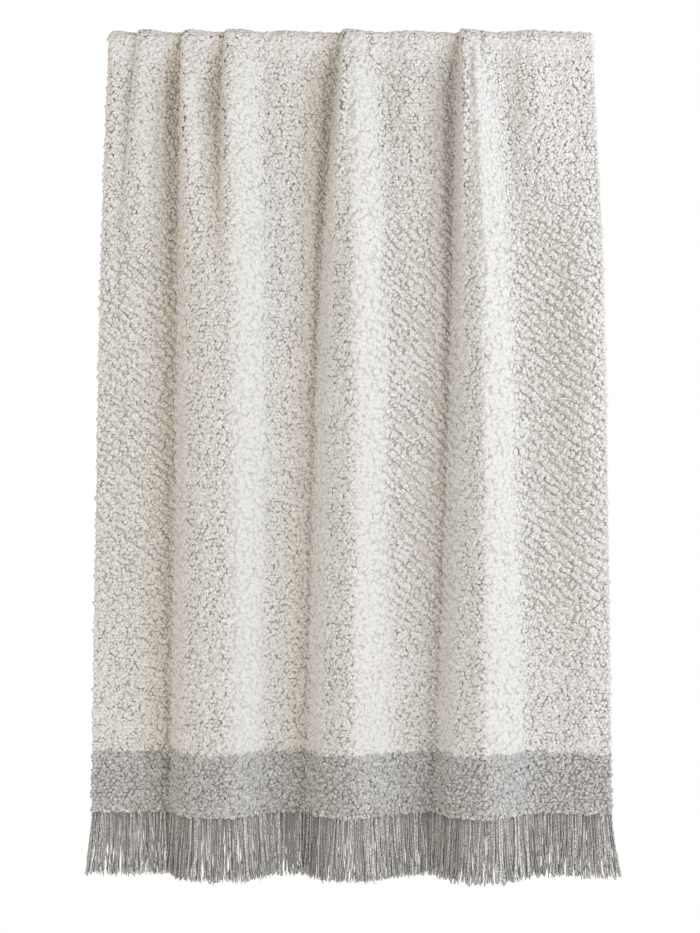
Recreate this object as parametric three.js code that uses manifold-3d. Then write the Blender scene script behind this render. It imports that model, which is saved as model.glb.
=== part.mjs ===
// A boucle throw hung over a rail that is not built: one long front drop in deep uneven folds,
// a soft fold over the rail, a short return behind, and a cut fringe at both ends.
// Millimetres, +Z up. The front faces -Y. The origin is the centre line of the rail.

import * as THREE from "three";
import * as BufferGeometryUtils from "three/addons/utils/BufferGeometryUtils.js";
import Module from "manifold-3d";

// Cloth sizes
const CLOTH_THICKNESS = 5;
const FRONT_DROP = 1568;
const RETURN_DROP = 196;
const MIDDLE_DROP = 580;
const SHOULDER_DROP = 150;

// The cloth's middle surface turns over the rail on this radius
const FOLD_RADIUS = 20;

// Behind the rail the folds keep this share of their depth at the shoulder, and spread a little
const RETURN_FOLD_SHARE = 0.55;
const RETURN_SPREAD = 1.015;
const RETURN_LEAN = 10;

// Fringe sizes
const ROOT_GAP = 0.3;
const ROOT_STRIP_HEIGHT = 5;
const ROOT_STRIP_THICKNESS = 3.4;
const STRAND_LENGTH = 122;
const STRAND_RAGGEDNESS = 7;
const STRAND_WIDTH = 5.4;
const STRAND_TIP_WIDTH = 3.2;
const STRAND_ROOT_DEPTH = 2;
const STRAND_SWAY = 3;
const STRAND_SWAY_POWER = 1.5;
const STRANDS_FRONT = 126;
const STRANDS_BACK = 96;
const EDGE_FLARE = 13;
const FLARE_REACH = 0.045;

// Facets
const COLUMNS_PER_FOLD_LINE = 3;
const STRAND_SIDES = 3;
const STRAND_RING_PLACES = [0, 0.5, 1];
const STRIP_STEPS_FRONT = 84;
const STRIP_STEPS_BACK = 48;
const MERGE_DISTANCE = 1e-4;

// How tightly the cross-section's curve follows its fold lines
const FOLD_TENSION = 0.5;

// Steps of the repeatable scatter that makes the strands differ
const SCATTER_STEP = 12.9898;
const SCATTER_SALT_STEP = 78.233;
const SCATTER_GAIN = 43758.5453;

// Lines along the cloth, from its left edge to its right edge. Each row gives where a line lies
// across the throw at the rail, at the middle of the drop and at the hem, and how far it stands
// out from the hanging plane at the rail, at the shoulder just below it, at the middle and at the hem.
const FOLD_COLUMNS = ["line", "rail", "middle", "hem", "outRail", "outShoulder", "outMiddle", "outHem"];
const FOLD_TABLE = [
  ["left edge", -483, -503, -518, 0, 2, 2, 10],
  ["edge roll", -469, -488, -498, 3, 8, 5, 8],
  ["foot a", -431, -468, -462, 0, 2, 6, 8],
  ["brow a", -424, -456, -446, 5, 14, 9, 7],
  ["crest a", -406, -429, -418, 6, 21, 12, 7],
  ["floor b", -378, -386, -378, 2, 8, 4, 3],
  ["foot b", -339, -347, -358, 0, -5, -2, 2],
  ["brow b", -334, -326, -331, 5, 39, 39, 46],
  ["crest b", -319, -303, -298, 6, 41, 52, 62],
  ["floor c", -290, -280, -268, 3, 26, 58, 68],
  ["foot c", -255, -260, -252, 1, 20, 61, 71],
  ["brow c", -247, -244, -238, 6, 48, 64, 71],
  ["crest c", -229, -219, -220, 7, 52, 65, 67],
  ["fall c", -205, -190, -196, 5, 34, 44, 46],
  ["valley d", -177, -158, -166, 1, 9, 17, 19],
  ["crest d", -133, -114, -126, 4, 14, 14, 11],
  ["floor e", -68, -82, -100, 1, 6, 6, 5],
  ["foot e", -18, -60, -84, 0, -5, 2, 9],
  ["brow e", -12, -40, -61, 6, 47, 40, 46],
  ["crest e", 0, -16, -32, 7, 51, 57, 65],
  ["back e", 14, 14, 6, 6, 51, 66, 74],
  ["fall e", 32, 46, 45, 3, 31, 51, 60],
  ["valley f", 68, 82, 94, 1, 6, 24, 30],
  ["crest f", 121, 136, 140, 4, 18, 18, 15],
  ["floor g", 175, 183, 161, 1, 6, 7, 9],
  ["foot g", 219, 205, 176, 0, -5, 3, 14],
  ["brow g", 225, 220, 198, 6, 50, 41, 56],
  ["crest g", 235, 239, 230, 7, 52, 57, 76],
  ["back g", 249, 266, 270, 6, 54, 67, 87],
  ["fall g", 268, 295, 313, 3, 33, 53, 66],
  ["valley h", 306, 336, 363, 1, 8, 24, 26],
  ["crest h", 362, 394, 417, 5, 21, 23, 25],
  ["right flat", 406, 469, 478, 3, 12, 42, 34],
  ["right edge", 487, 506, 521, 0, 11, 37, 37],
];
const FOLD_LINES = FOLD_TABLE.map(
  (row) => Object.fromEntries(FOLD_COLUMNS.map((name, i) => [name, row[i]])),
);

// Rows of the cloth's net: drops below the top of the fold, in front and behind
const FRONT_ROWS = [52, 85, 125, 175, 245, 340, 470, 640, 860, 1100, 1340, FRONT_DROP];
const RETURN_ROWS = [50, 90, 140, RETURN_DROP];
const FOLD_OVER_ANGLES = [-90, -58, -28, 0, 28, 58, 90];

// Smooth curve through a few knots that never overshoots them
function smoothThrough(knots, values, at) {
  const slopes = values.slice(1).map((value, i) => (value - values[i]) / (knots[i + 1] - knots[i]));
  const tangents = values.map((_, i) => {
    const before = slopes[Math.max(i - 1, 0)];
    const after = slopes[Math.min(i, slopes.length - 1)];
    return before * after <= 0 ? 0 : 2 * before * after / (before + after);
  });
  let i = 0;
  while (i < knots.length - 2 && at > knots[i + 1]) i += 1;
  const span = knots[i + 1] - knots[i];
  const t = THREE.MathUtils.clamp((at - knots[i]) / span, 0, 1);
  const rise = t * t * (3 - 2 * t);
  const startPull = t * (1 - t) * (1 - t) * span * tangents[i];
  const endPull = t * t * (t - 1) * span * tangents[i + 1];
  return values[i] * (1 - rise) + values[i + 1] * rise + startPull + endPull;
}

// Where one fold line is at a drop below the top of the fold: across, and out from the plane
function placeOfLine(row, drop, behind) {
  if (behind) {
    const opening = THREE.MathUtils.smoothstep(drop, 0, RETURN_DROP);
    const across = row.rail * THREE.MathUtils.lerp(1, RETURN_SPREAD, opening);
    const depth = row.outRail + (row.outShoulder - row.outRail) * RETURN_FOLD_SHARE * opening;
    return { across, out: depth + RETURN_LEAN * opening };
  }
  const across = smoothThrough([0, MIDDLE_DROP, FRONT_DROP], [row.rail, row.middle, row.hem], drop);
  const out = smoothThrough(
    [0, SHOULDER_DROP, MIDDLE_DROP, FRONT_DROP],
    [row.outRail, row.outShoulder, row.outMiddle, row.outHem],
    drop,
  );
  return { across, out };
}

// A point of the hanging plane and its outward direction, from the drop or the angle over the rail
function rowFrame({ drop, angle, behind }) {
  if (angle !== undefined) {
    const turn = THREE.MathUtils.degToRad(angle);
    const outward = new THREE.Vector3(0, Math.sin(turn), Math.cos(turn));
    const fall = FOLD_RADIUS * (1 - Math.cos(turn));
    return { base: outward.clone().multiplyScalar(FOLD_RADIUS), outward, drop: fall, behind: angle > 0 };
  }
  const side = behind ? 1 : -1;
  const base = new THREE.Vector3(0, side * FOLD_RADIUS, FOLD_RADIUS - drop);
  return { base, outward: new THREE.Vector3(0, side, 0), drop, behind };
}

// The cross-section of the cloth's middle surface at one row, as a curve through the fold lines
function sectionCurve(row) {
  const frame = rowFrame(row);
  const points = FOLD_LINES.map((line) => {
    const { across, out } = placeOfLine(line, frame.drop, frame.behind);
    return frame.base.clone().addScaledVector(frame.outward, out).setX(across);
  });
  return new THREE.CatmullRomCurve3(points, false, "catmullrom", FOLD_TENSION);
}

// The net of points of the middle surface: rows from the front hem up over the rail and down behind
function clothNet() {
  const rows = [
    ...[...FRONT_ROWS].reverse().map((drop) => ({ drop, behind: false })),
    ...FOLD_OVER_ANGLES.map((angle) => ({ angle })),
    ...RETURN_ROWS.map((drop) => ({ drop, behind: true })),
  ];
  const columns = (FOLD_LINES.length - 1) * COLUMNS_PER_FOLD_LINE;
  return rows.map((row) => sectionCurve(row).getPoints(columns));
}

// Outward normal of the net at a point, from its neighbours; level at both hems
function netNormal(net, i, j) {
  const lastRow = net.length - 1;
  const lastColumn = net[i].length - 1;
  const up = net[Math.min(i + 1, lastRow)][j].clone().sub(net[Math.max(i - 1, 0)][j]);
  const across = net[i][Math.min(j + 1, lastColumn)].clone().sub(net[i][Math.max(j - 1, 0)]);
  const normal = across.cross(up);
  return (i === 0 || i === lastRow ? normal.setZ(0) : normal).normalize();
}

function closedGeometry(positions, index) {
  const geometry = new THREE.BufferGeometry();
  geometry.setAttribute("position", new THREE.Float32BufferAttribute(positions, 3));
  geometry.setIndex(index);
  geometry.computeVertexNormals();
  return geometry;
}

// The cloth as one closed sheet: an outer and an inner net, joined round the rim
function clothGeometry() {
  const net = clothNet();
  const rowCount = net.length;
  const columnCount = net[0].length;
  const positions = [];
  for (const side of [1, -1]) {
    for (let i = 0; i < rowCount; i += 1) {
      for (let j = 0; j < columnCount; j += 1) {
        const point = net[i][j].clone().addScaledVector(netNormal(net, i, j), side * CLOTH_THICKNESS / 2);
        positions.push(point.x, point.y, point.z);
      }
    }
  }
  const index = [];
  const inner = rowCount * columnCount;
  const quad = (a, b, c, d) => index.push(a, b, c, a, c, d);
  for (let i = 0; i < rowCount - 1; i += 1) {
    for (let j = 0; j < columnCount - 1; j += 1) {
      const a = i * columnCount + j;
      const b = a + 1;
      const c = b + columnCount;
      const d = a + columnCount;
      quad(a, b, c, d);
      quad(inner + a, inner + d, inner + c, inner + b);
    }
  }
  for (let j = 0; j < columnCount - 1; j += 1) {
    const top = (rowCount - 1) * columnCount + j;
    quad(j, inner + j, inner + j + 1, j + 1);
    quad(top + 1, inner + top + 1, inner + top, top);
  }
  for (let i = 0; i < rowCount - 1; i += 1) {
    const left = i * columnCount;
    const right = left + columnCount - 1;
    quad(left + columnCount, inner + left + columnCount, inner + left, left);
    quad(right, inner + right, inner + right + columnCount, right + columnCount);
  }
  return closedGeometry(positions, index);
}

const wasm = await Module();
wasm.setup();

function toManifold(geometry) {
  const bare = geometry.clone();
  bare.deleteAttribute("normal");
  bare.deleteAttribute("uv");
  const merged = BufferGeometryUtils.mergeVertices(bare, MERGE_DISTANCE);
  return new wasm.Manifold(new wasm.Mesh({
    numProp: 3,
    vertProperties: new Float32Array(merged.attributes.position.array),
    triVerts: new Uint32Array(merged.index.array),
  }));
}

function fromManifold(solid) {
  const mesh = solid.getMesh();
  return closedGeometry(Array.from(mesh.vertProperties), Array.from(mesh.triVerts));
}

// A tube of flat facets through rings of equal point count, closed at both ends
function loftGeometry(rings) {
  const positions = rings.flat().flatMap((point) => [point.x, point.y, point.z]);
  const count = rings[0].length;
  const index = [];
  for (let i = 0; i < rings.length - 1; i += 1) {
    for (let j = 0; j < count; j += 1) {
      const a = i * count + j;
      const b = i * count + (j + 1) % count;
      index.push(a, b, a + count, b, b + count, a + count);
    }
  }
  const last = (rings.length - 1) * count;
  for (let j = 1; j < count - 1; j += 1) {
    index.push(0, j + 1, j);
    index.push(last, last + j, last + j + 1);
  }
  return closedGeometry(positions, index);
}

// An even, repeatable scatter between -1 and 1 for strand number n
function scatter(n, salt) {
  const wave = Math.sin(n * SCATTER_STEP + salt * SCATTER_SALT_STEP) * SCATTER_GAIN;
  return 2 * THREE.MathUtils.euclideanModulo(wave, 1) - 1;
}

// Points along a hem, and the frame on the straight piece between two of them
function hemFrame(hem, share) {
  const place = share * (hem.length - 1);
  const first = Math.min(Math.floor(place), hem.length - 2);
  const along = hem[first + 1].clone().sub(hem[first]).setZ(0).normalize();
  const point = hem[first].clone().lerp(hem[first + 1], place - first);
  return { point, along, outward: new THREE.Vector3(along.y, -along.x, 0) };
}

// The narrow strip that the strands are rooted in, just below the hem
function rootStripGeometry(hem) {
  const rings = hem.map((point, i) => {
    const share = i / (hem.length - 1);
    const { outward } = hemFrame(hem, share);
    const corner = (side, fall) => point.clone()
      .addScaledVector(outward, side * ROOT_STRIP_THICKNESS / 2)
      .setZ(point.z - ROOT_GAP - fall);
    const bottom = ROOT_STRIP_HEIGHT;
    return [corner(1, 0), corner(1, bottom), corner(-1, bottom), corner(-1, 0)];
  });
  return loftGeometry(rings);
}

// One strand: a tapered three-sided tail that hangs, sways a little and flares at the cloth's edges
function strandGeometry(hem, share, number, flare) {
  const { point, along, outward } = hemFrame(hem, share);
  const top = point.z - ROOT_GAP - ROOT_STRIP_HEIGHT + STRAND_ROOT_DEPTH;
  const length = STRAND_LENGTH + STRAND_RAGGEDNESS * scatter(number, 1);
  const sway = STRAND_SWAY * scatter(number, 2) + flare;
  const lean = STRAND_SWAY * scatter(number, 3);
  const turn = Math.PI * scatter(number, 4);
  const rings = STRAND_RING_PLACES.map((fall) => {
    const width = THREE.MathUtils.lerp(STRAND_WIDTH, STRAND_TIP_WIDTH, fall) / Math.sqrt(3);
    const centre = point.clone()
      .addScaledVector(along, sway * Math.pow(fall, STRAND_SWAY_POWER))
      .addScaledVector(outward, lean * fall)
      .setZ(top - length * fall);
    return Array.from({ length: STRAND_SIDES }, (_, side) => {
      const angle = turn - side * 2 * Math.PI / STRAND_SIDES;
      return centre.clone().add(new THREE.Vector3(Math.cos(angle), Math.sin(angle), 0).multiplyScalar(width));
    });
  });
  return loftGeometry(rings);
}

// A whole fringe: the root strip joined with its strands
function fringeGeometry(curve, strandCount, stripSteps) {
  const hem = curve.getSpacedPoints(stripSteps);
  let fringe = toManifold(rootStripGeometry(hem));
  for (let i = 0; i < strandCount; i += 1) {
    const share = (i + 0.5) / strandCount;
    const nearLeft = Math.max(0, 1 - share / FLARE_REACH);
    const nearRight = Math.max(0, 1 - (1 - share) / FLARE_REACH);
    const flare = EDGE_FLARE * (nearRight - nearLeft);
    fringe = fringe.add(toManifold(strandGeometry(hem, share, i, flare)));
  }
  return fromManifold(fringe);
}

const throwMaterials = {
  ivory: new THREE.MeshStandardMaterial({ color: 0xe6e2da, roughness: 0.95, metalness: 0 }),
  grey: new THREE.MeshStandardMaterial({ color: 0x9a9792, roughness: 0.9, metalness: 0 }),
};

function namedMesh(name, geometry, material) {
  const mesh = new THREE.Mesh(geometry, material);
  mesh.name = name;
  return mesh;
}

const frontHem = sectionCurve({ drop: FRONT_DROP, behind: false });
const backHem = sectionCurve({ drop: RETURN_DROP, behind: true });

const throwGroup = new THREE.Group();
throwGroup.add(namedMesh("throw_cloth", clothGeometry(), throwMaterials.ivory));
throwGroup.add(namedMesh(
  "fringe_front",
  fringeGeometry(frontHem, STRANDS_FRONT, STRIP_STEPS_FRONT),
  throwMaterials.grey,
));
throwGroup.add(namedMesh(
  "fringe_back",
  fringeGeometry(backHem, STRANDS_BACK, STRIP_STEPS_BACK),
  throwMaterials.grey,
));

export default throwGroup;
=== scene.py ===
# %% [markdown]
# A boucle throw, hung over a rail.
#
# The real throw is one woven piece. Its yarn is spun with loose loops, so both faces are covered
# in small soft nubs. It hangs over a rail that isn't shown: a long front drop in deep uneven
# folds, a soft fold at the top, and a short return behind. A grey band crosses each end, and the
# warp ends are left long as a fringe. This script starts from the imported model, which fixes every
# size, and dresses it in a ground sheet, nubs of yarn and strands.

# %% Load the frame
import math

import bpy
import numpy as np
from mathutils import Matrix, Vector


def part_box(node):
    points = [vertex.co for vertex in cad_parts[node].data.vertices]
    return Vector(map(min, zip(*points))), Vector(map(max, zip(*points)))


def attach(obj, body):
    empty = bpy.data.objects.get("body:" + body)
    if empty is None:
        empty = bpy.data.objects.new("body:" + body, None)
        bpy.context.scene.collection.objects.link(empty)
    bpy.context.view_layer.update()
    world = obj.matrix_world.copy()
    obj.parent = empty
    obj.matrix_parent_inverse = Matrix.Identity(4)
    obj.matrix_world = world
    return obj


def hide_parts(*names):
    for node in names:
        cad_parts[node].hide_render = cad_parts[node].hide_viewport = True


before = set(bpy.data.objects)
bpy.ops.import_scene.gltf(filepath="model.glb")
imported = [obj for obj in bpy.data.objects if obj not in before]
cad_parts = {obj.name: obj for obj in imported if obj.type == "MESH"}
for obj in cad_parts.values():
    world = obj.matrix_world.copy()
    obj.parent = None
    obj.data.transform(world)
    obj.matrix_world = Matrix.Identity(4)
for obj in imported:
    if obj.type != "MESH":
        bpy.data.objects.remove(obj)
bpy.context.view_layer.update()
cloth_low, cloth_high = (np.array(corner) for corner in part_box("throw_cloth"))
print("cloth box", cloth_low.round(4), cloth_high.round(4))

# %% [markdown]
# The camera comes first. The photograph looks straight at the front, level with the middle of the
# throw. The camera is placed by three named values: the real size of one pixel, the height that
# the frame's middle looks at, and the distance to the middle of the folds.

# %% Camera
FRAME_PIXELS_HIGH = 933
PIXEL = 0.0020
CAMERA_DISTANCE = 3.0
CAMERA_HEIGHT = -0.854
MIDDLE_OF_FOLDS = -0.04
SENSOR_MILLIMETRES = 24.0

camera_data = bpy.data.cameras.new("camera")
camera_data.sensor_fit = "VERTICAL"
camera_data.sensor_height = SENSOR_MILLIMETRES
camera_data.lens = SENSOR_MILLIMETRES * CAMERA_DISTANCE / (FRAME_PIXELS_HIGH * PIXEL)
camera = bpy.data.objects.new("camera", camera_data)
camera.location = (0, MIDDLE_OF_FOLDS - CAMERA_DISTANCE, CAMERA_HEIGHT)
camera.rotation_euler = (math.radians(90), 0, 0)
bpy.context.scene.collection.objects.link(camera)
bpy.context.scene.camera = camera
print("lens", round(camera_data.lens, 1), "mm")

# %% [markdown]
# The folds. Cloth that hangs in folds is easiest to describe by the lines that run down it: each
# valley and each crest has a place across the throw and a distance out from the hanging plane,
# and both change slowly from the rail to the hem. The table has a row for each line, from the
# left edge to the right one, in metres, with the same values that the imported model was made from.
# The places across follow the photograph. It can't show how far a fold stands out, so those
# values are choices that make the folds take the light in much the same way.

# %% Fold lines
FRONT_DROP = 1.568
RETURN_DROP = 0.196
MIDDLE_DROP = 0.580
SHOULDER_DROP = 0.150
FOLD_RADIUS = 0.020
RETURN_FOLD_SHARE = 0.55
RETURN_SPREAD = 1.015
RETURN_LEAN = 0.010

FOLD_COLUMNS = ("rail", "middle", "hem", "out_rail", "out_shoulder", "out_middle", "out_hem")
FOLD_TABLE = {
    "left edge": (-0.483, -0.503, -0.518, 0.000, 0.002, 0.002, 0.010),
    "edge roll": (-0.469, -0.488, -0.498, 0.003, 0.008, 0.005, 0.008),
    "foot a": (-0.431, -0.468, -0.462, 0.000, 0.002, 0.006, 0.008),
    "brow a": (-0.424, -0.456, -0.446, 0.005, 0.014, 0.009, 0.007),
    "crest a": (-0.406, -0.429, -0.418, 0.006, 0.021, 0.012, 0.007),
    "floor b": (-0.378, -0.386, -0.378, 0.002, 0.008, 0.004, 0.003),
    "foot b": (-0.339, -0.347, -0.358, 0.000, -0.005, -0.002, 0.002),
    "brow b": (-0.334, -0.326, -0.331, 0.005, 0.039, 0.039, 0.046),
    "crest b": (-0.319, -0.303, -0.298, 0.006, 0.041, 0.052, 0.062),
    "floor c": (-0.290, -0.280, -0.268, 0.003, 0.026, 0.058, 0.068),
    "foot c": (-0.255, -0.260, -0.252, 0.001, 0.020, 0.061, 0.071),
    "brow c": (-0.247, -0.244, -0.238, 0.006, 0.048, 0.064, 0.071),
    "crest c": (-0.229, -0.219, -0.220, 0.007, 0.052, 0.065, 0.067),
    "fall c": (-0.205, -0.190, -0.196, 0.005, 0.034, 0.044, 0.046),
    "valley d": (-0.177, -0.158, -0.166, 0.001, 0.009, 0.017, 0.019),
    "crest d": (-0.133, -0.114, -0.126, 0.004, 0.014, 0.014, 0.011),
    "floor e": (-0.068, -0.082, -0.101, 0.001, 0.006, 0.006, 0.005),
    "foot e": (-0.018, -0.060, -0.084, 0.000, -0.005, 0.002, 0.009),
    "brow e": (-0.012, -0.040, -0.061, 0.006, 0.047, 0.040, 0.046),
    "crest e": (0.000, -0.016, -0.032, 0.007, 0.051, 0.057, 0.065),
    "back e": (0.014, 0.014, 0.006, 0.006, 0.051, 0.066, 0.074),
    "fall e": (0.032, 0.046, 0.045, 0.003, 0.031, 0.051, 0.060),
    "valley f": (0.068, 0.082, 0.094, 0.001, 0.006, 0.024, 0.030),
    "crest f": (0.121, 0.136, 0.140, 0.004, 0.018, 0.018, 0.015),
    "floor g": (0.175, 0.183, 0.161, 0.001, 0.006, 0.007, 0.009),
    "foot g": (0.219, 0.205, 0.176, 0.000, -0.005, 0.003, 0.014),
    "brow g": (0.225, 0.220, 0.198, 0.006, 0.050, 0.041, 0.056),
    "crest g": (0.235, 0.239, 0.230, 0.007, 0.052, 0.057, 0.076),
    "back g": (0.249, 0.266, 0.270, 0.006, 0.054, 0.067, 0.087),
    "fall g": (0.268, 0.295, 0.313, 0.003, 0.033, 0.053, 0.066),
    "valley h": (0.306, 0.336, 0.363, 0.001, 0.008, 0.024, 0.026),
    "crest h": (0.362, 0.394, 0.417, 0.005, 0.021, 0.023, 0.025),
    "right flat": (0.406, 0.469, 0.478, 0.003, 0.012, 0.042, 0.034),
    "right edge": (0.487, 0.506, 0.521, 0.000, 0.011, 0.037, 0.037),
}
lines = {name: np.array([row[i] for row in FOLD_TABLE.values()]) for i, name in enumerate(FOLD_COLUMNS)}
print(len(FOLD_TABLE), "fold lines")

# %% [markdown]
# Three small helpers: two make a value change without a corner, and one gives vectors a length
# of one.


# %% Smooth values and unit vectors
def smooth_step(x):
    x = np.clip(x, 0, 1)
    return x * x * (3 - 2 * x)


def ramp(value, start, end):
    """0 up to start and 1 from end on, with a smooth change between them."""
    return smooth_step((value - start) / (end - start))


def unit(vectors):
    return vectors / np.linalg.norm(vectors, axis=-1, keepdims=True)


# %% [markdown]
# Between the heights that the table names, each line follows a smooth curve that never
# overshoots: a cubic whose slope at a knot is the harmonic mean of its neighbours' slopes.


# %% Smooth change down the throw
def smooth_through(knots, values, at):
    """values has a column for each line and a row for each knot; the result has a row for each of at."""
    spans = np.diff(knots)
    slopes = np.diff(values, axis=0) / spans[:, None]
    before = slopes[np.maximum(np.arange(len(knots)) - 1, 0)]
    after = slopes[np.minimum(np.arange(len(knots)), len(spans) - 1)]
    same_way = before * after > 0
    total = np.where(same_way, before + after, 1)
    tangents = np.where(same_way, 2 * before * after / total, 0)
    i = np.clip(np.searchsorted(knots, at) - 1, 0, len(knots) - 2)
    t = np.clip((at - np.asarray(knots)[i]) / spans[i], 0, 1)[:, None]
    rise = smooth_step(t)
    start_pull = t * (1 - t) ** 2 * spans[i][:, None] * tangents[i]
    end_pull = t * t * (t - 1) * spans[i][:, None] * tangents[i + 1]
    return values[i] * (1 - rise) + values[i + 1] * rise + start_pull + end_pull


# %% [markdown]
# A row of the cloth is found by its distance along the throw from the front hem: up the front,
# over the rail and down behind. It gives a point of the hanging plane and the way out from it.

# %% Path over the rail
FRONT_LENGTH = FRONT_DROP - FOLD_RADIUS
OVER_LENGTH = math.pi * FOLD_RADIUS
RETURN_LENGTH = RETURN_DROP - FOLD_RADIUS
CLOTH_LENGTH = FRONT_LENGTH + OVER_LENGTH + RETURN_LENGTH


def hanging_path(along):
    """Base y and z, outward y and z, the drop below the fold's top, and whether the row is behind."""
    turn = np.clip((along - FRONT_LENGTH) / FOLD_RADIUS, 0, math.pi) - math.pi / 2
    fall = np.maximum(FRONT_LENGTH - along, 0) + np.maximum(along - FRONT_LENGTH - OVER_LENGTH, 0)
    out_y, out_z = np.sin(turn), np.cos(turn)
    base_y = FOLD_RADIUS * out_y
    base_z = FOLD_RADIUS * out_z - fall
    drop = FOLD_RADIUS - base_z
    return base_y, base_z, out_y, out_z, drop, turn > 0


def line_places(along):
    """Where every fold line lies across and how far out it stands, for each row."""
    *_, drop, behind = hanging_path(along)
    three = np.stack([lines["rail"], lines["middle"], lines["hem"]])
    four = np.stack([lines["out_rail"], lines["out_shoulder"], lines["out_middle"], lines["out_hem"]])
    across = smooth_through((0, MIDDLE_DROP, FRONT_DROP), three, drop)
    out = smooth_through((0, SHOULDER_DROP, MIDDLE_DROP, FRONT_DROP), four, drop)
    opening = ramp(drop, 0, RETURN_DROP)[:, None]
    across_behind = lines["rail"] * (1 + (RETURN_SPREAD - 1) * opening)
    grown = (lines["out_shoulder"] - lines["out_rail"]) * RETURN_FOLD_SHARE
    out_behind = lines["out_rail"] + (grown + RETURN_LEAN) * opening
    behind = behind[:, None]
    return np.where(behind, across_behind, across), np.where(behind, out_behind, out)


print("cloth length", round(CLOTH_LENGTH, 3))

# %% [markdown]
# The cross-section of each row is a smooth curve through its fold lines. Its points are then
# spaced evenly by length, because the yarn can't stretch: a column of the net follows the same
# warp thread from hem to hem, and everything that is placed on the cloth later stays in rows.

# %% Net of the cloth's middle surface
SAMPLES_PER_SPAN = 24
NET_ROWS = 720
NET_COLUMNS = 620


def curve_through(points, samples):
    """A smooth curve through the points of the last axis, as a hanging fold runs."""
    first = 2 * points[:, :1] - points[:, 1:2]
    last = 2 * points[:, -1:] - points[:, -2:-1]
    padded = np.concatenate([first, points, last], axis=1)
    p0, p1, p2, p3 = padded[:, :-3], padded[:, 1:-2], padded[:, 2:-1], padded[:, 3:]
    t = (np.arange(samples) / samples)[None, None, :]
    start, end = 0.5 * (p2 - p0), 0.5 * (p3 - p1)
    rise = smooth_step(t)
    curve = (
        p1[..., None] * (1 - rise)
        + p2[..., None] * rise
        + start[..., None] * t * (1 - t) ** 2
        + end[..., None] * t * t * (t - 1)
    )
    return np.concatenate([curve.reshape(len(points), -1), points[:, -1:]], axis=1)


def cloth_rows(along, columns):
    """Points of the cloth's middle surface: a row for each of along, evenly spaced across."""
    base_y, base_z, out_y, out_z, *_ = hanging_path(along)
    across, out = line_places(along)
    x = curve_through(across, SAMPLES_PER_SPAN)
    d = curve_through(out, SAMPLES_PER_SPAN)
    steps = np.hypot(np.diff(x, axis=1), np.diff(d, axis=1))
    length = np.concatenate([np.zeros((len(x), 1)), np.cumsum(steps, axis=1)], axis=1)
    share = np.linspace(0, 1, columns)
    even_x = np.empty((len(x), columns))
    even_d = np.empty((len(x), columns))
    for i in range(len(x)):
        even_x[i] = np.interp(share * length[i, -1], length[i], x[i])
        even_d[i] = np.interp(share * length[i, -1], length[i], d[i])
    y = base_y[:, None] + out_y[:, None] * even_d
    z = base_z[:, None] + out_z[:, None] * even_d
    return np.stack([even_x, y, z], axis=-1), length[:, -1]


net_along = np.linspace(0, CLOTH_LENGTH, NET_ROWS)
net, row_lengths = cloth_rows(net_along, NET_COLUMNS)
net_right = unit(np.gradient(net, axis=1))
net_normal = unit(np.cross(net_right, np.gradient(net, axis=0)))
net_up = np.cross(net_normal, net_right)
CLOTH_WIDTH = float(np.median(row_lengths))
print("cloth width", round(CLOTH_WIDTH, 3), "from", NET_ROWS, "by", NET_COLUMNS, "points")

# %% [markdown]
# Whatever lies on the cloth is placed by two numbers, as on a map: a share of the width and a
# distance along the throw. One function reads any grid of values there, by blending the four
# values around the place.


# %% Reading a grid at any place
def on_net(field, share, along, ease=lambda part: part):
    """The field at a share of the width, 0 to 1, and a distance along the throw."""
    rows, columns = field.shape[:2]
    u = np.clip(share, 0, 1) * (columns - 1)
    v = np.clip(along / CLOTH_LENGTH, 0, 1) * (rows - 1)
    i = np.minimum(v.astype(int), rows - 2)
    j = np.minimum(u.astype(int), columns - 2)
    fu, fv = ease(u - j)[..., None], ease(v - i)[..., None]
    low = field[i, j] * (1 - fu) + field[i, j + 1] * fu
    high = field[i + 1, j] * (1 - fu) + field[i + 1, j + 1] * fu
    return low * (1 - fv) + high * fv


# %% [markdown]
# Deep in a fold the yarn sees little but more yarn, and the light that reaches it has already
# bounced off yarn, which makes it warmer. A render does part of that by itself, and a mask adds
# the rest as painted warm shade. How deep a place lies is read off the net: the steepest way up to
# the cloth on its right, within about eleven centimetres.

# %% Steepest way up
RECESS_REACH = 60
SHORTEST_RUN = 0.004
steepest = np.zeros((NET_ROWS, NET_COLUMNS))
for step in range(2, RECESS_REACH, 2):
    run = np.abs(net[:, step:, 0] - net[:, :-step, 0])
    rise = np.abs(net[:, step:, 1]) - np.abs(net[:, :-step, 1])
    steepest[:, :-step] = np.maximum(steepest[:, :-step], rise / np.maximum(run, SHORTEST_RUN))
print("steepest way up, on average", round(float(steepest.mean()), 3))

# %% [markdown]
# The mask has two parts: a narrow one at the foot of a steep wall, and a wide one for the whole
# hollow. The wall itself is left out. Near the rail the narrow part is at least what it is a
# little lower down. Some hollows are darker than others in the photograph, so the mask has a
# strength for each stretch of the width.

# %% Depth of the recesses
WALL_TURN = (0.25, 0.60)
FOOT_STEEPNESS = (0.90, 1.90)
HOLLOW_STEEPNESS = (0.10, 0.70)
FOOT_WEIGHT = 0.2
HOLLOW_WEIGHT = 0.5
PINCH_DROP = 0.10
RECESS_ACROSS = (0.00, 0.06, 0.12, 0.20, 0.26, 0.45, 0.60, 1.00)
RECESS_STRENGTH = (0.10, 0.10, 0.95, 1.00, 0.70, 0.75, 0.50, 0.35)

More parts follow.
